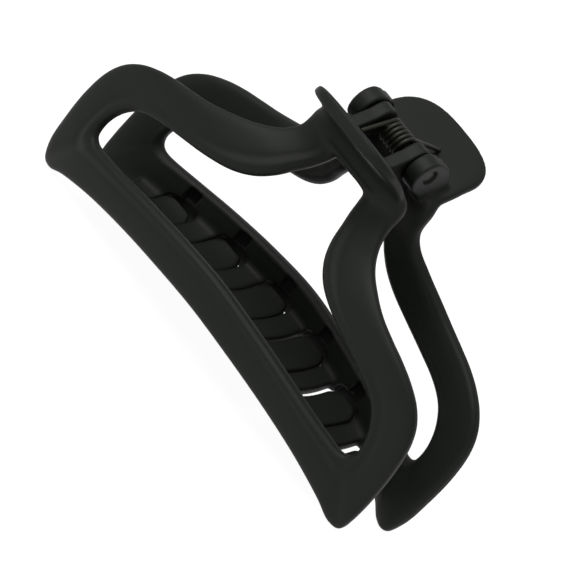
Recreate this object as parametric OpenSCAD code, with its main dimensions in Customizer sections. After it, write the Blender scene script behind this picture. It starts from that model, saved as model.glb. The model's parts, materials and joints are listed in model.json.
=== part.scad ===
// Hair claw clip: two sprung plastic jaws on one steel pin.
// Frame: +X along the hinge pin, +Y towards the back jaw, +Z up. The closed clip
// stands on its four frame corners, and the origin is under the middle of it.
// Millimetres.

/* [Hinge] */
// Height of the pin's axis above the lowest corners of the jaws
hinge_z = 61.42; // [61.42:0.01:61.5]
// Radius of the steel pin
pin_r = 1.2; // [1:0.05:1.35]
// Radial running clearance of the inner knuckles on the pin
pin_play = 0.05; // [0.02:0.01:0.1]
// Radius of the round end of the front jaw's inner knuckles
inner_r = 3.4; // [3.35:0.05:3.6]
// Radius of the round end of the back jaw's outer knuckles
outer_r = 4.2; // [4.1:0.05:4.3]
// Outer face of the outer knuckles, from the middle
knuckle_x = 11.8; // [11.5:0.1:12.2]
// Gap between neighbouring knuckles
knuckle_gap = 0.4; // [0.3:0.05:0.5]

/* [Spring] */
// Diameter of the spring wire
wire_d = 1; // [0.8:0.05:1.1]
// Mean radius of the coil
coil_r = 2.45; // [2.3:0.05:2.6]
// Whole turns in the coil
coil_turns = 5; // [4:1:5]
// Distance from turn to turn
coil_pitch = 1.15; // [1.1:0.05:1.2]
// Length of the leg that bears on the back jaw's finger plate
back_leg = 12.5; // [11:0.5:13]
// Length of the leg that bears on the front jaw's finger plate
front_leg = 9; // [8:0.5:9.5]

/* [Jaw frame] */
// Thickness of the S-shaped arms
arm_t = 3.6; // [3.2:0.1:4]
// Thickness of the lower bar
bar_t = 4; // [3.6:0.1:4.4]
// Thickness of the finger plate
plate_t = 3; // [2.6:0.1:3.2]
// How much higher the back jaw's finger plate ends than the front jaw's
plate_lift = 1.2; // [0:0.1:1.5]

/* [Teeth] */
// Distance between neighbouring teeth of the closed clip
tooth_pitch = 7.36; // [7.2:0.02:7.5]
// Width of the middle teeth
tooth_w = 6.6; // [5.8:0.1:6.7]
// Thickness of a tooth
tooth_t = 2.4; // [2:0.1:2.6]

/* [Hidden] */
plastic = [0.11, 0.115, 0.11];
steel = [0.2, 0.2, 0.19];

back_droop = 8;      // how far the spring's legs slope down, in degrees
front_droop = 25;
ring_steps = 4;      // sections between two stations of the frame
ring_sides = 14;     // corners of one section of the frame
tooth_sides = 12;    // corners of one section of a tooth
tooth_steps = 12;    // sections along a tooth
plate_steps = 4;     // sections between two stations of the finger plate
inner_in = 4.4;      // inner face of the inner knuckles, from the middle
inner_out = 7.7;     // outer face of the inner knuckles, from the middle
outer_in = inner_out + knuckle_gap;
outer_centre = [-0.25, -0.4];   // middle of the outer knuckles' round end, from the pin
head_r = 1.9;        // the pin's flat head, at its -X end
head_t = 0.8;
pin_short = 0.6;     // how far the pin's other end stops inside its knuckle

// Sides of the webs that join the knuckles to the finger plate on the +Y side, as
// [y, height] from the pin. They start inside the round end and stay off the bore.
outer_web = [[1.6, 3.3], [4.6, 2.9], [10.6, -2.6], [7.6, -4.9], [5.7, -7.6], [-1.2, -4.1],
    [1.2, -2.5], [2.3, 0]];
inner_web = [[1, 3.1], [10.2, -3.2], [7.6, -5], [6, -7], [-0.2, -3.2], [1.2, -2.4], [2.2, 0]];
web_inset = 0.05;    // how much narrower a web is than its knuckle, on each side

// Stations of one jaw's frame, for its half at +X: the outer edge and the inner edge
// of the band, as [x, distance from the middle plane, height below the pin's axis],
// from the neck down the arm, round the corner and along the bar to the middle.
stations = [
    [[0, 7.4, -4.2], [0, 4.5, -10.5]],
    [[6.5, 7.1, -4.4], [3, 4.5, -10.5]],
    [[12.2, 6.2, -5], [5, 4.7, -11.2]],
    [[15.1, 5.4, -7.4], [5.8, 5.4, -13.2]],
    [[15.6, 6, -12.2], [6.8, 6.9, -15.8]],
    [[17.6, 7.8, -15.6], [8.2, 8.8, -18.4]],
    [[21.6, 10.5, -18.3], [10, 10.9, -21.9]],
    [[26.6, 12.2, -20.5], [12.8, 12.8, -25.1]],
    [[31.4, 13.1, -22.3], [17, 14.3, -27.7]],
    [[36.6, 13.3, -23.8], [22.8, 15, -29.7]],
    [[41.2, 13.2, -25.1], [29.5, 14.9, -31.4]],
    [[45.8, 12.8, -26.9], [35.2, 14.6, -32.8]],
    [[50, 12.3, -29.4], [39.5, 14.1, -34.3]],
    [[53.2, 12, -32.9], [42.6, 13.5, -36.1]],
    [[55.1, 11.8, -37.8], [45, 13.1, -38.8]],
    [[55.9, 11.3, -44.7], [46.5, 12.8, -41.8]],
    [[55.8, 10.5, -52.2], [47.1, 12.6, -44.7]],
    [[54.9, 9.6, -58.2], [46.8, 12.8, -46.6]],
    [[53.8, 8.9, -61.4], [45.8, 13.1, -47.6]],
    [[50.6, 10, -60.2], [44, 13.5, -48]],
    [[46.4, 11.6, -58.6], [40.8, 14, -47.7]],
    [[36.9, 13.8, -56.2], [34.2, 15.2, -46.8]],
    [[25.6, 15.7, -54.2], [24.7, 16.4, -45.4]],
    [[13.3, 17.4, -52.8], [13.3, 17.3, -44.1]],
    [[0, 18.4, -52], [0, 17.8, -43.3]]];
neck_stations = 4;   // stations that belong to the neck
bar_from = 19;       // first station that belongs to the bar

// Stations of the finger plate: [distance from the middle plane, height, half width]
plate = [[5.1, -9.2, 11.4], [5.8, -7.3, 13.9], [7.6, -5, 13.9], [10.4, -3.1, 13.9],
    [13.4, -1.6, 13.6], [16.6, -0.3, 13.2], [19.2, 0.7, 12], [21, 1.4, 10],
    [22, 1.75, 7.2], [22.6, 1.95, 3]];

tooth_dip = 1.9;     // how far a middle tooth hangs below its bar's lower edge
tooth_rise = 2.6;    // how far its two ends lie above that edge
tooth_reach = 3.2;   // how far its tip stops short of the other bar's middle line
end_rise = 1.1;      // how much less a tooth hangs, 40 mm from the middle
end_narrow = 1.2;    // how much narrower it is there

function mirrored(p) = [-p[0], p[1], p[2]];
function unit(v) = v / norm(v);
// Point on a Catmull-Rom curve between b and c
function curve(a, b, c, d, t) = 0.5 * (2 * b + (c - a) * t
    + (2 * a - 5 * b + 4 * c - d) * t * t + (3 * b - a - 3 * c + d) * t * t * t);
// The curve through a list of points, n steps a span, with its ends held
function through(pts, n) = let (k = len(pts) - 1) concat([for (i = [0:k - 1], s = [0:n - 1])
    curve(pts[max(i - 1, 0)], pts[i], pts[i + 1], pts[min(i + 2, k)], s / n)], [pts[k]]);
// Corner i of n of a rounded rectangle with half sides a and b; round 1 is an ellipse
function corner(i, n, a, b, round) = let (c = cos(360 * i / n), s = sin(360 * i / n))
    [a * sign(c) * pow(abs(c), round), b * sign(s) * pow(abs(s), round)];
// Middle line of the pieces of a curve: the direction at point i of a list
function along(pts, i) = unit(pts[min(i + 1, len(pts) - 1)] - pts[max(i - 1, 0)]);

// A solid through a list of sections with the same number of corners
module skin(rows, closed = false) {
    n = len(rows);
    m = len(rows[0]);
    sides = [for (r = [0:n - (closed ? 1 : 2)], k = [0:m - 1], t = [0, 1])
        let (a = r * m + k, b = r * m + (k + 1) % m,
             c = ((r + 1) % n) * m + (k + 1) % m, d = ((r + 1) % n) * m + k)
        t == 0 ? [a, b, c] : [a, c, d]];
    caps = closed ? [] : [[for (k = [m - 1:-1:0]) k], [for (k = [0:m - 1]) (n - 1) * m + k]];
    polyhedron([for (row = rows) each row], concat(sides, caps));
}

// The band's thickness at station k: arms, then the thicker bar
function band_t(k) = k < neck_stations ? plate_t + 0.4
    : k < bar_from ? arm_t : bar_t;

// The closed frame of a jaw on the +Y side
module frame_ring() {
    last = len(stations) - 1;
    all = concat(stations, [for (k = [last - 1:-1:1])
        [mirrored(stations[k][0]), mirrored(stations[k][1])]]);
    n = len(all);
    fine = [for (k = [0:n - 1], s = [0:ring_steps - 1]) [for (e = [0, 1])
        curve(all[(k + n - 1) % n][e], all[k][e], all[(k + 1) % n][e],
              all[(k + 2) % n][e], s / ring_steps)]];
    half_t = [for (k = [0:n - 1], s = [0:ring_steps - 1])
        let (f = s / ring_steps, a = min(k, n - k), b = min((k + 1) % n, n - (k + 1) % n))
        (band_t(a) * (1 - f) + band_t(b) * f) / 2];
    m = len(fine);
    rows = [for (i = [0:m - 1])
        let (outer = fine[i][0], inner = fine[i][1], mid = (outer + inner) / 2,
             next = (fine[(i + 1) % m][0] + fine[(i + 1) % m][1]) / 2,
             prev = (fine[(i + m - 1) % m][0] + fine[(i + m - 1) % m][1]) / 2,
             across = unit(outer - inner), normal = unit(cross(across, next - prev)))
        [for (c = [0:ring_sides - 1])
            let (p = corner(c, ring_sides, norm(outer - inner) / 2, half_t[i], 0.62))
            mid + p[0] * across + p[1] * normal]];
    skin(rows, closed = true);
}

// The finger plate, which leans out from the neck; lift raises its outer end
module finger_plate(lift) {
    root = plate[0][0];
    span = plate[len(plate) - 1][0] - root;
    raised = [for (p = plate) [p[0], p[1] + lift * (p[0] - root) / span, p[2]]];
    rows_in = through(raised, plate_steps);
    k = len(rows_in) - 1;
    rows = [for (i = [0:k])
        let (p = rows_in[i], a = rows_in[max(i - 1, 0)], b = rows_in[min(i + 1, k)],
             dir = unit([b[0] - a[0], b[1] - a[1]]),
             start = i / plate_steps, left = (k - i) / plate_steps,
             half_t = plate_t / 2 * (left < 1 ? 0.62 + 0.38 * sqrt(left) : min(1, 0.6 + 0.4 * start)))
        [for (c = [0:ring_sides + 1])
            let (q = corner(c, ring_sides + 2, p[2], half_t, 0.5))
            [q[0], p[0] - q[1] * dir[1], p[1] + q[1] * dir[0]]]];
    skin(rows);
}

// Lower edge of the bar at x: [distance from the middle plane, height]
function bar_edge(x) = let (low = [for (k = [len(stations) - 1:-1:bar_from]) stations[k][0]],
    i = max([for (k = [0:len(low) - 2]) low[k][0] <= abs(x) ? k : 0]),
    f = (abs(x) - low[i][0]) / (low[i + 1][0] - low[i][0]), p = low[i] * (1 - f) + low[i + 1] * f)
    [p[1], p[2]];

// One tooth at x, from the bar of the jaw on the +Y side towards the other jaw
module tooth(x) {
    edge = bar_edge(x);
    off = pow(x / 40, 2);
    low = edge[1] - tooth_dip + end_rise * off;
    width = tooth_w - end_narrow * off;
    line = [for (i = [0:tooth_steps]) let (y = edge[0] - i / tooth_steps * (2 * edge[0] - tooth_reach))
        [y, low + (edge[1] + tooth_rise - low) * pow(abs(y) / edge[0], 3)]];
    rows = [for (i = [0:tooth_steps])
        let (dir = along(line, i), f = i / tooth_steps,
             tip = 0.946 * sqrt(max(0.12, 1 - pow((f - 0.9) / 0.11, 2))),
             half_w = width / 2 * (f < 0.9 ? 1 - 0.06 * f : tip),
             half_t = tooth_t / 2 * (1.12 - 0.3 * f))
        [for (c = [0:tooth_sides - 1])
            let (q = corner(c, tooth_sides, half_w, half_t, 0.7))
            [x + q[0], line[i][0] - q[1] * dir[1], line[i][1] + q[1] * dir[0]]]];
    skin(rows);
}

// Teeth of the jaw on the +Y side; the other jaw's fill the gaps
module teeth()
    for (k = [-2:3])
        tooth(tooth_pitch * (0.5 - 2 * k));

// The finger plate, which leans out from the neck; lift raises its outer end
module finger_plate(lift) {
    root = plate[0][0];
    span = plate[len(plate) - 1][0] - root;
    raised = [for (p = plate) [p[0], p[1] + lift * (p[0] - root) / span, p[2]]];
    rows_in = through(raised, plate_steps);
    k = len(rows_in) - 1;
    rows = [for (i = [0:k])
        let (p = rows_in[i], a = rows_in[max(i - 1, 0)], b = rows_in[min(i + 1, k)],
             dir = unit([b[0] - a[0], b[1] - a[1]]),
             start = i / plate_steps, left = (k - i) / plate_steps,
             half_t = plate_t / 2 * (left < 1 ? 0.62 + 0.38 * sqrt(left) : min(1, 0.6 + 0.4 * start)))
        [for (c = [0:ring_sides + 1])
            let (q = corner(c, ring_sides + 2, p[2], half_t, 0.5))
            [q[0], p[0] - q[1] * dir[1], p[1] + q[1] * dir[0]]]];
    skin(rows);
}

// Lower edge of the bar at x: [distance from the middle plane, height]
function bar_edge(x) = let (low = [for (k = [len(stations) - 1:-1:bar_from]) stations[k][0]],
    i = max([for (k = [0:len(low) - 2]) low[k][0] <= abs(x) ? k : 0]),
    f = (abs(x) - low[i][0]) / (low[i + 1][0] - low[i][0]), p = low[i] * (1 - f) + low[i + 1] * f)
    [p[1], p[2]];

// One tooth at x, from the bar of the jaw on the +Y side towards the other jaw
module tooth(x) {
    edge = bar_edge(x);
    off = pow(x / 40, 2);
    low = edge[1] - tooth_dip + end_rise * off;
    width = tooth_w - end_narrow * off;
    line = [for (i = [0:tooth_steps]) let (y = edge[0] - i / tooth_steps * (2 * edge[0] - tooth_reach))
        [y, low + (edge[1] + tooth_rise - low) * pow(abs(y) / edge[0], 3)]];
    rows = [for (i = [0:tooth_steps])
        let (dir = along(line, i), f = i / tooth_steps,
             tip = 0.946 * sqrt(max(0.12, 1 - pow((f - 0.9) / 0.11, 2))),
             half_w = width / 2 * (f < 0.9 ? 1 - 0.06 * f : tip),
             half_t = tooth_t / 2 * (1.12 - 0.3 * f))
        [for (c = [0:tooth_sides - 1])
            let (q = corner(c, tooth_sides, half_w, half_t, 0.7))
            [x + q[0], line[i][0] - q[1] * dir[1], line[i][1] + q[1] * dir[0]]]];
    skin(rows);
}

// Teeth of the jaw on the +Y side; the other jaw's fill the gaps
module teeth()
    for (k = [-2:3])
        tooth(tooth_pitch * (0.5 - 2 * k));

// An arched notch at x, cut from the inside of the bar for the tip of the other jaw's tooth
module notch(x)
    skin([for (i = [0:8])
        let (t = i / 4 - 1, edge = bar_edge(x + t * notch_w), floor = edge[0] + notch_floor,
             top = edge[1] - 0.5 + (notch_h + 0.5) * sqrt(1 - t * t))
        [[x + t * notch_w, floor, top], [x + t * notch_w, floor - 8, top],
         [x + t * notch_w, floor - 8, edge[1] - 6], [x + t * notch_w, floor, edge[1] - 6]]]);

// A blind pocket at x in the bar's inner face, above the notch
module bar_pocket(x) {
    edge = bar_top(x);
    translate([x - pocket[0] / 2, edge[0] - bar_t / 2 - 2, edge[1] - 1 - pocket[1]])
        cube([pocket[0], pocket[2] + 2, pocket[1]]);
}

// The frame with its notches and pockets
module frame()
    difference() {
        frame_ring();
        for (k = [-2:3]) {
            notch(-tooth_pitch * (0.5 - 2 * k));
            bar_pocket(-tooth_pitch * (0.5 - 2 * k));
        }
    }

// A pair of webs with the profile sides, between x0 and x1 from the middle
module webs(sides, x0, x1)
    for (x = [-x1, x0])
        translate([x + web_inset, 0, 0]) rotate([90, 0, 90])
            linear_extrude(x1 - x0 - 2 * web_inset) polygon(sides);

// A pair of round knuckle ends of radius r about the point at, without their holes
module knuckles(r, at, x0, x1)
    for (x = [-x1, x0])
        translate([x, at[0], at[1]]) rotate([0, 90, 0]) cylinder(r = r, h = x1 - x0, $fn = 64);

// Frame, teeth, finger plate and knuckle webs as one moulding
module moulding(sides, x0, x1, lift)
    resize([0, 0, 0]) union() {
        frame_ring();
        finger_plate(lift);
        teeth();
        webs(sides, x0, x1);
    }

module pin_hole(r)
    translate([-knuckle_x - 1, 0, 0]) rotate([0, 90, 0]) cylinder(r = r, h = 2 * knuckle_x + 2, $fn = 48);

module back_jaw()
    color(plastic) translate([0, 0, hinge_z]) difference() {
        union() {
            moulding(outer_web, outer_in, knuckle_x, plate_lift);
            knuckles(outer_r, outer_centre, outer_in, knuckle_x);
        }
        pin_hole(pin_r);
    }

module front_jaw()
    color(plastic) translate([0, 0, hinge_z]) rotate([0, 0, 180]) difference() {
        union() {
            moulding(inner_web, inner_in, inner_out, 0);
            knuckles(inner_r, [0, 0], inner_in, inner_out);
        }
        pin_hole(pin_r + pin_play);
    }

module hinge_pin()
    color(steel) translate([-knuckle_x, 0, hinge_z]) rotate([0, 90, 0]) {
        cylinder(r = pin_r, h = 2 * knuckle_x - pin_short, $fn = 48);
        translate([0, 0, -head_t]) cylinder(r1 = head_r - 0.4, r2 = head_r, h = head_t, $fn = 48);
    }

module torsion_spring()
    color(steel) translate([0, 0, hinge_z]) {
        steps = 16;
        x0 = coil_pitch * coil_turns / 2;
        first = 90 + front_droop;
        total = 360 * coil_turns + front_droop + back_droop;
        turns = steps * coil_turns;
        round = [for (i = [0:turns]) let (a = first - total * i / turns)
            [x0 * (2 * i / turns - 1), coil_r * cos(a), coil_r * sin(a)]];
        line = concat([round[0] - front_leg * [0, cos(front_droop), sin(front_droop)]], round,
            [round[turns] + back_leg * [0, cos(back_droop), -sin(back_droop)]]);
        rows = [for (i = [0:len(line) - 1])
            let (dir = along(line, i), side = unit([1, 0, 0] - dir * dir[0]), up = cross(side, dir))
            [for (c = [0:7]) let (q = corner(c, 8, wire_d / 2, wire_d / 2, 1)) line[i] + q[0] * side + q[1] * up]];
        skin(rows);
    }

back_jaw();
front_jaw();
hinge_pin();
torsion_spring();
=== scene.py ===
import json
import math

import bpy
import numpy as np
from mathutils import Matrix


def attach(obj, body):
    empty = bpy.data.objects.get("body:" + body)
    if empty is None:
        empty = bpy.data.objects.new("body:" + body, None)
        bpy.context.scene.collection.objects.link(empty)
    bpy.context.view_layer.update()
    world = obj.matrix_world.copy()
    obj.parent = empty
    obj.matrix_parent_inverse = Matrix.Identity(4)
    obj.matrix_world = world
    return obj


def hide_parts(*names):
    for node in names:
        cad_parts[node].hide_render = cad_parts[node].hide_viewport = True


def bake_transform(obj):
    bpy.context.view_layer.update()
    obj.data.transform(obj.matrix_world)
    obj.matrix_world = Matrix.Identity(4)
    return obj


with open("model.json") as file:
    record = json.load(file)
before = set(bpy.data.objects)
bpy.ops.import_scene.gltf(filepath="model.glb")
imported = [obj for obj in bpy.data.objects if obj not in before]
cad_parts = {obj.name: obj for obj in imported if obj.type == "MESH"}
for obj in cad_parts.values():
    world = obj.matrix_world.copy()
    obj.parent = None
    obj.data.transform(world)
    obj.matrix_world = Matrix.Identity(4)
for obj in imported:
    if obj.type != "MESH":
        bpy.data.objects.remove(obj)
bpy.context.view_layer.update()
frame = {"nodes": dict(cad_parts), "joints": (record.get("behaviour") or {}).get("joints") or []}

import openvdb
from mathutils import Matrix, Vector

MM = 0.001

# ---------------------------------------------------------------- the clip's measures
# Lengths in this section are millimetres from the hinge axis, for the jaw on the +Y
# side: x along the pin, y away from the middle plane, z up. The frame's band, plate,
# knuckles and spring are the CAD model's, with rounder tips. The longer teeth, the
# notches and the pockets are only here.

HINGE = Vector(frame["joints"][0]["pos_m"])
ARM_T, BAR_T, PLATE_T = 3.6, 4.0, 3.0
TOOTH_PITCH, TOOTH_T = 7.36, 2.4
LIP, VALLEY = 0.2, 0.22          # soft lip round the hole, and the valley beside it
PIN_R, PIN_PLAY = 1.2, 0.05
MOUTH_R, MOUTH_DEEP = 1.75, 0.7  # counterbore in front of the pin's end
INNER_X, OUTER_X = (4.4, 7.7), (8.1, 11.8)
WIRE_D, COIL_R, COIL_TURNS, COIL_PITCH = 1.0, 2.45, 5, 1.15
BACK_LEG, FRONT_LEG = (12.5, 8), (9, 25)  # length in mm, and droop in degrees

# Outer edge and inner edge of the frame's band, down the arm and along the bar. The
# first values came from a least-squares outline fit, and some were corrected.
STATIONS = [
    ((0, 7.4, -4.2), (0, 4.5, -10.5)),
    ((6.5, 7.1, -4.4), (3, 4.5, -10.5)),
    ((12.2, 6.2, -5), (5, 4.7, -11.2)),
    ((15.1, 5.4, -7.4), (5.8, 5.4, -13.2)),
    ((15.6, 6, -12.2), (6.8, 6.9, -15.8)),
    ((17.6, 7.8, -15.6), (8.2, 8.8, -18.4)),
    ((21.6, 10.5, -18.3), (10, 10.9, -21.9)),
    ((26.6, 12.2, -20.5), (12.8, 12.8, -25.1)),
    ((31.4, 13.1, -22.3), (17, 14.3, -27.7)),
    ((36.6, 13.3, -23.8), (22.8, 15, -29.7)),
    ((41.2, 13.2, -25.1), (29.5, 14.9, -31.4)),
    ((45.8, 12.8, -26.9), (35.2, 14.6, -32.8)),
    ((50, 12.3, -29.4), (39.5, 14.1, -34.3)),
    ((53.2, 12, -32.9), (42.6, 13.5, -36.1)),
    ((55.1, 11.8, -37.8), (45, 13.1, -38.8)),
    ((55.9, 11.3, -44.7), (46.5, 12.8, -41.8)),
    ((55.8, 10.5, -52.2), (47.1, 12.6, -44.7)),
    ((55.3, 9.9, -57.2), (46.8, 12.8, -46.6)),
    ((54, 9.1, -60.7), (45.8, 13.1, -47.6)),
    ((51, 9.9, -61), (44, 13.5, -48)),
    ((46.4, 11.6, -58.9), (40.8, 14, -47.7)),
    ((36.9, 13.8, -56.2), (34.2, 15.2, -46.8)),
    ((25.6, 15.7, -54.2), (24.7, 16.4, -45.4)),
    ((13.3, 17.4, -52.8), (13.3, 17.3, -44.1)),
    ((0, 18.4, -52), (0, 17.8, -43.3)),
]
NECK_STATIONS, BAR_FROM = 4, 19
PLATE = [(5.1, -9.2, 11.4), (5.8, -7.3, 13.9), (7.6, -5, 13.9), (10.4, -3.1, 13.9), (13.4, -1.6, 13.6),
         (16.6, -0.3, 13.2), (19.2, 0.7, 12), (21, 1.4, 10), (22, 1.75, 7.2), (22.6, 1.95, 3)]
PLATE_LIFT = 1.2                 # how much higher the back jaw's plate ends than the front jaw's
TOOTH_DIP, TOOTH_RISE, TOOTH_REACH = 1.9, 2.6, 0.85
END_RISE = 1.1                   # how much less a tooth hangs, 40 mm from the middle
BACK_TOOTH, FRONT_TOOTH = (3.55, 2.3), (3.65, 4.85)  # a tooth's two sides, from the middle of its place
BACK_TAPER, TAPER_X = 0.9, 18    # the back teeth lose this much towards +X, in full from TAPER_X on
NOTCH_W, NOTCH_H, NOTCH_DEEP, NOTCH_SHIFT = 4.9, 4.1, 0.4, -0.5
NOTCH_POWER = 3.2                # 2 is an elliptic arch, higher is squarer
POCKET_W, POCKET_H, POCKET_T = 1.7, 1.7, 0.9
POCKET_SHIFT, POCKET_DROP, POCKET_ROUND = 0.25, 1.35, 0.5
NOTCH_EDGE, POCKET_EDGE = 0.2, 0.3                      # how soft a cut's rim is
TOOTH_FILLET, PLATE_FILLET, KNUCKLE_FILLET = 1.0, 2.4, 0.8
OUTER_WEB = [(1.6, 3.3), (4.6, 2.9), (10.6, -2.6), (7.6, -4.9), (5.7, -7.6), (-1.2, -4.1)]
INNER_WEB = [(1, 3.1), (10.2, -3.2), (7.6, -5), (6, -7), (-0.2, -3.2)]
OUTER_ROUND, INNER_ROUND = (-0.25, -0.4, 4.2), (0, 0, 3.4)


# ---------------------------------------------------------------- curves and skins
def spline(points, steps, closed=False):
    """Catmull-Rom through points, steps samples a span."""
    p = np.array(points, float)
    n = len(p)
    spans = n if closed else n - 1
    index = lambda k: k % n if closed else min(max(k, 0), n - 1)
    rows = []
    for k in range(spans):
        a, b, c, d = (p[index(k + j)] for j in (-1, 0, 1, 2))
        for s in range(steps):
            t = s / steps
            rows.append(0.5 * (2 * b + (c - a) * t + (2 * a - 5 * b + 4 * c - d) * t ** 2
                               + (3 * b - a - 3 * c + d) * t ** 3))
    if not closed:
        rows.append(p[-1])
    return np.array(rows)


def unit(v):
    return v / np.linalg.norm(v, axis=-1, keepdims=True)


def oval(sides, power):
    """Unit section: power 1 is a circle, lower is squarer."""
    a = 2 * np.pi * np.arange(sides) / sides
    c, s = np.cos(a), np.sin(a)
    return np.sign(c) * abs(c) ** power, np.sign(s) * abs(s) ** power


def skin(rows, closed=False):
    """Points and quads of a surface through rows of points, and fans over its ends."""
    rows = np.array(rows, float)
    n, m, _ = rows.shape
    quads = [(r * m + k, r * m + (k + 1) % m, (r + 1) % n * m + (k + 1) % m, (r + 1) % n * m + k)
             for r in range(n if closed else n - 1) for k in range(m)]
    points = rows.reshape(-1, 3)
    if closed:
        return points, quads, []
    points = np.vstack([points, rows[0].mean(0), rows[-1].mean(0)])
    first, last = n * m, n * m + 1
    fans = [(first, (k + 1) % m, k) for k in range(m)]
    fans += [(last, (n - 1) * m + k, (n - 1) * m + (k + 1) % m) for k in range(m)]
    return points, quads, fans


def frame_skin():
    """The closed frame: arms, corners and toothed bar of one jaw."""
    flip = lambda p: (-p[0], p[1], p[2])
    half = [(tuple(o), tuple(i)) for o, i in STATIONS]
    ring = half + [(flip(o), flip(i)) for o, i in half[-2:0:-1]]
    steps, n = 10, len(ring)
    outer = spline([r[0] for r in ring], steps, True)
    inner = spline([r[1] for r in ring], steps, True)
    kinds = [min(k, n - k) for k in range(n)]
    thick = [PLATE_T + 0.4 if k < NECK_STATIONS else ARM_T if k < BAR_FROM else BAR_T for k in kinds]
    f = np.arange(steps) / steps
    half_t = np.concatenate([thick[k] * (1 - f) + thick[(k + 1) % n] * f for k in range(n)]) / 2
    mid = (outer + inner) / 2
    across = unit(outer - inner)
    normal = unit(np.cross(across, np.roll(mid, -1, 0) - np.roll(mid, 1, 0)))
    c, s = oval(72, 0.62)
    width = np.linalg.norm(outer - inner, axis=1) / 2
    swell = lambda at, wide: np.exp(-((c - at) / wide) ** 2)
    outside = LIP * swell(-0.74, 0.14) - VALLEY * swell(-0.4, 0.16)
    inside = -LIP * swell(-0.74, 0.14)
    rise = np.where(s > 0, outside, inside)
    rows = (mid[:, None] + (width[:, None] * c)[..., None] * across[:, None]
            + (half_t[:, None] * s + rise)[..., None] * normal[:, None])
    return skin(rows, closed=True)


def plate_skin(lift):
    """The finger plate; lift raises its outer end."""
    steps = 10
    first, last = PLATE[0][0], PLATE[-1][0]
    line = spline([(y, z + lift * (y - first) / (last - first), w) for y, z, w in PLATE], steps)
    k = len(line) - 1
    direction = unit(np.gradient(line[:, :2], axis=0))
    left = (k - np.arange(k + 1)) / steps
    start = np.arange(k + 1) / steps
    half_t = PLATE_T / 2 * np.where(left < 1, 0.62 + 0.38 * np.sqrt(np.minimum(left, 1)),
                                    np.minimum(1, 0.6 + 0.4 * start))
    c, s = oval(48, 0.5)
    rows = [[(p[2] * a, p[0] - t * b * d[1], p[1] + t * b * d[0]) for a, b in zip(c, s)]
            for p, d, t in zip(line, direction, half_t)]
    return skin(rows)


def rail(x, edge):
    """Depth and height of the bar's lower (edge 0) or upper (edge 1) edge at x."""
    low = np.array([st[edge] for st in STATIONS[:BAR_FROM - 1:-1]], float)
    return np.interp(abs(x), low[:, 0], low[:, 1]), np.interp(abs(x), low[:, 0], low[:, 2])


def tooth_skin(x, left, right):
    """A shallow curved tooth from x - left to x + right, from this bar into the other bar's notch."""
    edge_y, edge_z = rail(x, 0)
    off = (x / 40) ** 2
    low = edge_z - TOOTH_DIP + END_RISE * off
    y = np.linspace(edge_y, TOOTH_REACH - edge_y, 40)
    line = np.stack([y, low + (edge_z + TOOTH_RISE - low) * (abs(y) / edge_y) ** 3], axis=1)
    k = len(line) - 1
    direction = unit(np.gradient(line, axis=0))
    f = np.arange(k + 1) / k
    tip = np.where(f < 0.93, 1, np.sqrt(np.maximum(0.5, 1 - ((f - 0.93) / 0.09) ** 2)))
    half_t = TOOTH_T / 2 * (1.12 - 0.2 * f)
    c, s = oval(40, 0.42)
    middle, half_w = x + (right - left) / 2, (left + right) / 2
    rows = [[(middle + w * half_w * a, p[0] - t * b * d[1], p[1] + t * b * d[0]) for a, b in zip(c, s)]
            for p, d, w, t in zip(line, direction, tip, half_t)]
    return skin(rows)


# ---------------------------------------------------------------- distance fields
VOXEL = 0.3
LOW = np.array([-58.0, -19.0, -64.0])
SHAPE = tuple(int(v) for v in np.ceil((np.array([58.0, 26.0, 8.0]) - LOW) / VOXEL))
BAND = 3.2  # how far from a surface its distance is known, in mm


def field(parts):
    """Signed distance to closed skins, on the grid that all the jaw's fields share."""
    points, quads, fans, base = [], [], [], 0
    for p, q, t in parts:
        points.append(p)
        quads += [tuple(i + base for i in f) for f in q]
        fans += [tuple(i + base for i in f) for f in t]
        base += len(p)
    grid = openvdb.FloatGrid.createLevelSetFromPolygons(
        np.ascontiguousarray((np.vstack(points) - LOW) / VOXEL, np.float32),
        triangles=np.array(fans, np.uint32).reshape(-1, 3), quads=np.array(quads, np.uint32).reshape(-1, 4),
        transform=openvdb.createLinearTransform(1.0), halfWidth=BAND / VOXEL)
    values = np.empty(SHAPE, np.float32)
    grid.copyToArray(values)
    return values * VOXEL


def axes():
    return np.meshgrid(*(LOW[k] + VOXEL * np.arange(SHAPE[k]) for k in range(3)), indexing="ij", sparse=True)


def blended(a, b, radius):
    """The union of two fields with a fillet where they meet."""
    h = np.maximum(radius - abs(a - b), 0) / radius
    return np.minimum(a, b) - h * h * radius / 4


def carved(a, tool, radius):
    """A field with another taken away, and a soft edge where they meet."""
    return -blended(-a, tool, radius)


def rounded_slab(profile, x, span, edge):
    """A flat profile's field, extruded over span on both sides of the middle, with rounded edges."""
    middle, half = (span[0] + span[1]) / 2, (span[1] - span[0]) / 2
    u, v = profile + edge, abs(abs(x) - middle) - half + edge
    return np.minimum(np.maximum(u, v), 0) + np.hypot(np.maximum(u, 0), np.maximum(v, 0)) - edge


def polygon_field(points, y, z):
    """Signed distance to a polygon in the yz plane."""
    best, inside = np.full(np.broadcast(y, z).shape, 1e9), np.zeros(np.broadcast(y, z).shape, bool)
    for (ay, az), (by, bz) in zip(points, points[1:] + points[:1]):
        ey, ez = by - ay, bz - az
        t = np.clip(((y - ay) * ey + (z - az) * ez) / (ey * ey + ez * ez), 0, 1)
        best = np.minimum(best, np.hypot(y - ay - t * ey, z - az - t * ez))
        crosses = ((az > z) != (bz > z)) & (y < ay + (z - az) * ey / (ez if ez else 1e-9))
        inside ^= crosses
    return np.where(inside, -best, best)


def knuckle_field(web, round_end, span):
    x, y, z = axes()
    cy, cz, r = round_end
    profile = blended(np.hypot(y - cy, z - cz) - r, polygon_field(web, y, z), 1.0)
    return rounded_slab(profile, x, span, 0.45)


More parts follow.
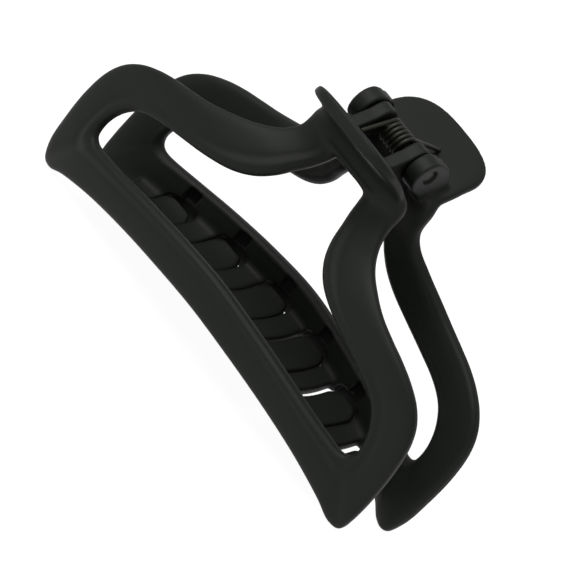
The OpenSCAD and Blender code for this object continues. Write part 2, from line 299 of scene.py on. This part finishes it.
def surface(values):
    """Points and quads of a field's zero surface, in mm."""
    grid = openvdb.FloatGrid(BAND)
    grid.copyFromArray(np.ascontiguousarray(values, np.float32), tolerance=0.0)
    points, triangles, quads = grid.convertToPolygons(isovalue=0.0, adaptivity=0.0)
    return points * VOXEL + LOW, quads


def jaw_mesh(name, body_field, web, round_end, span, bore, turn):
    x, y, z = axes()
    values = blended(body_field, knuckle_field(web, round_end, span), KNUCKLE_FILLET)
    hole = bore - np.hypot(y, z)
    hole = np.where(abs(x) < span[1] + 1, hole, -BAND)
    mouth = np.minimum(MOUTH_R - np.hypot(y, z), x - span[1] + MOUTH_DEEP) if bore == PIN_R else -BAND
    values = np.clip(np.maximum(np.maximum(values, hole), mouth), -BAND, BAND)
    points, quads = surface(values)
    me = bpy.data.meshes.new(name)
    sign = -1 if turn else 1
    placed = (points * np.array([sign, sign, 1])) * MM + np.array(HINGE)
    me.from_pydata(placed.tolist(), [], [tuple(reversed(q)) for q in quads.tolist()])
    me.validate()
    me.polygons.foreach_set("use_smooth", [True] * len(me.polygons))
    ob = bpy.data.objects.new(name, me)
    bpy.context.scene.collection.objects.link(ob)
    return ob


def notch_field(centres):
    """Arched notches under the bar's inner side, which the other jaw's tooth tips enter."""
    x, y, z = axes()
    edge_y, edge_z = rail(x, 0)
    up = np.maximum(z - edge_z, 0)
    arch = np.full(np.broadcast(x, z).shape, 1e9)
    for cx in centres:
        across = abs(x - cx - NOTCH_SHIFT) / NOTCH_W
        reach = (across ** NOTCH_POWER + (up / NOTCH_H) ** NOTCH_POWER) ** (1 / NOTCH_POWER)
        arch = np.minimum(arch, (reach - 1) * NOTCH_H)
    return np.maximum(arch, y - edge_y - NOTCH_DEEP)


def pocket_field(centres):
    """Small blind pockets in the bar's inner face, above the notches."""
    x, y, z = axes()
    edge_y, edge_z = rail(x, 1)
    best = np.full(SHAPE, 1e9, np.float32)
    for cx in centres:
        d = [abs(x - cx + POCKET_SHIFT) - POCKET_W + POCKET_ROUND,
             abs(y - edge_y + BAR_T / 2) - POCKET_T * 2 + POCKET_ROUND,
             abs(z - edge_z + POCKET_DROP + POCKET_H) - POCKET_H + POCKET_ROUND]
        out = np.sqrt(sum(np.maximum(v, 0) ** 2 for v in d))
        deep = np.minimum(np.maximum(np.maximum(d[0], d[1]), d[2]), 0)
        best = np.minimum(best, out + deep - POCKET_ROUND)
    return best


def moulding_fields():
    """The fields of the back and the front jaw without their knuckles, both as if on the +Y side."""
    own = [TOOTH_PITCH * (0.5 - 2 * k) for k in range(-2, 4)]
    others = [-x for x in own]
    frame_part = field([frame_skin()])
    frame_part = carved(frame_part, notch_field(others), NOTCH_EDGE)
    frame_part = carved(frame_part, pocket_field(others), POCKET_EDGE)
    taper = lambda x: BACK_TAPER * min(max(x / TAPER_X, 0), 1)
    back_teeth = [tooth_skin(x, BACK_TOOTH[0], BACK_TOOTH[1] - taper(x)) for x in own]
    front_teeth = [tooth_skin(x, *FRONT_TOOTH) for x in own]
    return [blended(blended(frame_part, field(teeth), TOOTH_FILLET), field([plate_skin(lift)]), PLATE_FILLET)
            for teeth, lift in ((back_teeth, PLATE_LIFT), (front_teeth, 0))]


BACK_BODY, FRONT_BODY = moulding_fields()
back = jaw_mesh("back_jaw_moulding", BACK_BODY, OUTER_WEB, OUTER_ROUND, OUTER_X, PIN_R, False)
front = jaw_mesh("front_jaw_moulding", FRONT_BODY, INNER_WEB, INNER_ROUND, INNER_X, PIN_R + PIN_PLAY, True)


# ---------------------------------------------------------------- spring
def torsion_spring():
    steps = 40
    x0 = COIL_PITCH * COIL_TURNS / 2
    turn_in, turn_out = 90 + FRONT_LEG[1], 90 - BACK_LEG[1]

    def leg(x, angle, length, way):
        """Straight wire that leaves the coil at angle and runs along it."""
        a = math.radians(angle)
        return [(x, COIL_R * math.cos(a) + way * t * math.sin(a), COIL_R * math.sin(a) - way * t * math.cos(a))
                for t in np.linspace(0, length, 24)]

    line = leg(-x0, turn_in, FRONT_LEG[0], -1)[:0:-1]
    total = COIL_TURNS * 360 + turn_in - turn_out
    for i in range(COIL_TURNS * steps + 1):
        a = math.radians(turn_in - total * i / (COIL_TURNS * steps))
        line.append((x0 * (2 * i / (COIL_TURNS * steps) - 1), COIL_R * math.cos(a), COIL_R * math.sin(a)))
    line += leg(x0, turn_out, BACK_LEG[0], 1)[1:]
    line = np.array(line)
    direction = unit(np.gradient(line, axis=0))
    side = unit(np.array([1.0, 0, 0]) - direction * direction[:, :1])
    up = np.cross(side, direction)
    c, s = oval(16, 1)
    rows = line[:, None] + WIRE_D / 2 * (c[None, :, None] * side[:, None] + s[None, :, None] * up[:, None])
    points, quads, fans = skin(rows)
    me = bpy.data.meshes.new("spring_wire")
    faces = [tuple(q) for q in quads] + [tuple(t) for t in fans]
    me.from_pydata((points * MM + np.array(HINGE)).tolist(), [], faces)
    me.polygons.foreach_set("use_smooth", [True] * len(me.polygons))
    ob = bpy.data.objects.new("spring_wire", me)
    bpy.context.scene.collection.objects.link(ob)
    return ob


spring = torsion_spring()


# ---------------------------------------------------------------- materials
def node(tree, kind, **settings):
    n = tree.nodes.new(kind)
    for key, value in settings.items():
        if key in n.inputs:
            n.inputs[key].default_value = value
        else:
            setattr(n, key.lower(), value)
    return n


def grained(name, dark, light, roughness, specular, grain, bump, metallic=0.0):
    """A surface whose color and roughness drift softly, with a fine grain. grain is its size in mm."""
    m = bpy.data.materials.new(name)
    m.use_nodes = True
    t = m.node_tree
    b = t.nodes["Principled BSDF"]
    b.inputs["Specular IOR Level"].default_value = specular
    b.inputs["Metallic"].default_value = metallic
    place = node(t, "ShaderNodeTexCoord")
    cloud = node(t, "ShaderNodeTexNoise", Scale=55, Detail=5, Roughness=0.6)
    fine = node(t, "ShaderNodeTexNoise", Scale=1 / (grain * MM), Detail=3, Roughness=0.7)
    t.links.new(place.outputs["Object"], cloud.inputs["Vector"])
    t.links.new(place.outputs["Object"], fine.inputs["Vector"])
    ramp = node(t, "ShaderNodeMix", data_type="RGBA")
    ramp.inputs[6].default_value = (*dark, 1)
    ramp.inputs[7].default_value = (*light, 1)
    t.links.new(cloud.outputs["Fac"], ramp.inputs[0])
    t.links.new(ramp.outputs[2], b.inputs["Base Color"])
    rough = node(t, "ShaderNodeMapRange")
    rough.inputs["From Min"].default_value, rough.inputs["From Max"].default_value = 0.3, 0.7
    rough.inputs["To Min"].default_value, rough.inputs["To Max"].default_value = roughness
    t.links.new(cloud.outputs["Fac"], rough.inputs["Value"])
    t.links.new(rough.outputs["Result"], b.inputs["Roughness"])
    dent = node(t, "ShaderNodeBump", Strength=bump, Distance=0.00008)
    t.links.new(fine.outputs["Fac"], dent.inputs["Height"])
    t.links.new(dent.outputs["Normal"], b.inputs["Normal"])
    return m


plastic = grained("matte_black_plastic", (0.0046, 0.0060, 0.0042), (0.0064, 0.0082, 0.0058),
                  (0.46, 0.56), 0.17, 0.25, 0.35)
wire = grained("blackened_wire", (0.009, 0.010, 0.008), (0.026, 0.025, 0.018),
               (0.3, 0.42), 0.4, 0.4, 0.3, 0.6)
pin_steel = grained("pin_steel", (0.009, 0.009, 0.008), (0.022, 0.022, 0.02),
                    (0.4, 0.55), 0.4, 0.3, 0.2, 0.6)
for ob in (back, front):
    ob.data.materials.append(plastic)
spring.data.materials.append(wire)
pin = frame["nodes"]["hinge_pin"]
pin.data.materials.clear()
pin.data.materials.append(pin_steel)

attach(back, "back_jaw")
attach(front, "front_jaw")
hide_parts("back_jaw")
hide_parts("front_jaw")
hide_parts("torsion_spring")
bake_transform(spring)


# ---------------------------------------------------------------- floor, light, camera
def floor():
    me = bpy.data.meshes.new("floor")
    s = 4.0
    me.from_pydata([(-s, -s, 0), (s, -s, 0), (s, s, 0), (-s, s, 0)], [], [(0, 1, 2, 3)])
    ob = bpy.data.objects.new("floor", me)
    bpy.context.scene.collection.objects.link(ob)
    m = bpy.data.materials.new("pale_floor")
    m.use_nodes = True
    b = m.node_tree.nodes["Principled BSDF"]
    b.inputs["Base Color"].default_value = (0.12, 0.12, 0.12, 1)
    b.inputs["Emission Color"].default_value = (1, 1, 1, 1)
    b.inputs["Emission Strength"].default_value = 0.95
    b.inputs["Roughness"].default_value = 0.8
    b.inputs["Specular IOR Level"].default_value = 0.1
    me.materials.append(m)


def area_light(name, place, aim, size, power):
    data = bpy.data.lights.new(name, "AREA")
    data.shape = "DISK"
    data.size = size
    data.energy = power
    ob = bpy.data.objects.new(name, data)
    bpy.context.scene.collection.objects.link(ob)
    ob.location = place
    ob.rotation_euler = (Vector(aim) - Vector(place)).to_track_quat("-Z", "Y").to_euler()


def camera():
    """Looks from the front right and a little above, rolled, as the clip lies in the hand."""
    azimuth, elevation, roll = (math.radians(a) for a in (25.79, 20.4, 41.85))
    distance, aside, above = 1543.9 * MM, -22.64 * MM, -30.97 * MM
    back_dir = Vector((math.sin(azimuth) * math.cos(elevation),
                       -math.cos(azimuth) * math.cos(elevation), math.sin(elevation)))
    right = Vector((math.cos(azimuth), math.sin(azimuth), 0))
    up = back_dir.cross(right)
    image_right = math.cos(roll) * right + math.sin(roll) * up
    image_up = -math.sin(roll) * right + math.cos(roll) * up
    data = bpy.data.cameras.new("camera")
    data.sensor_width, data.lens = 36, 466.5
    data.clip_start, data.clip_end = 0.1, 20
    ob = bpy.data.objects.new("camera", data)
    bpy.context.scene.collection.objects.link(ob)
    m = Matrix((image_right, image_up, back_dir)).transposed().to_4x4()
    m.translation = HINGE + image_right * aside + image_up * above + back_dir * distance
    ob.matrix_world = m
    bpy.context.scene.camera = ob


floor()
world = bpy.data.worlds.new("studio")
world.use_nodes = True
world.node_tree.nodes["Background"].inputs["Color"].default_value = (1, 1, 1, 1)
world.node_tree.nodes["Background"].inputs["Strength"].default_value = 0.6
bpy.context.scene.world = world
area_light("key", (-0.25, -0.4, 0.8), (0, 0, 0.03), 0.9, 7)
camera()
bpy.context.scene.view_settings.view_transform = "Standard"
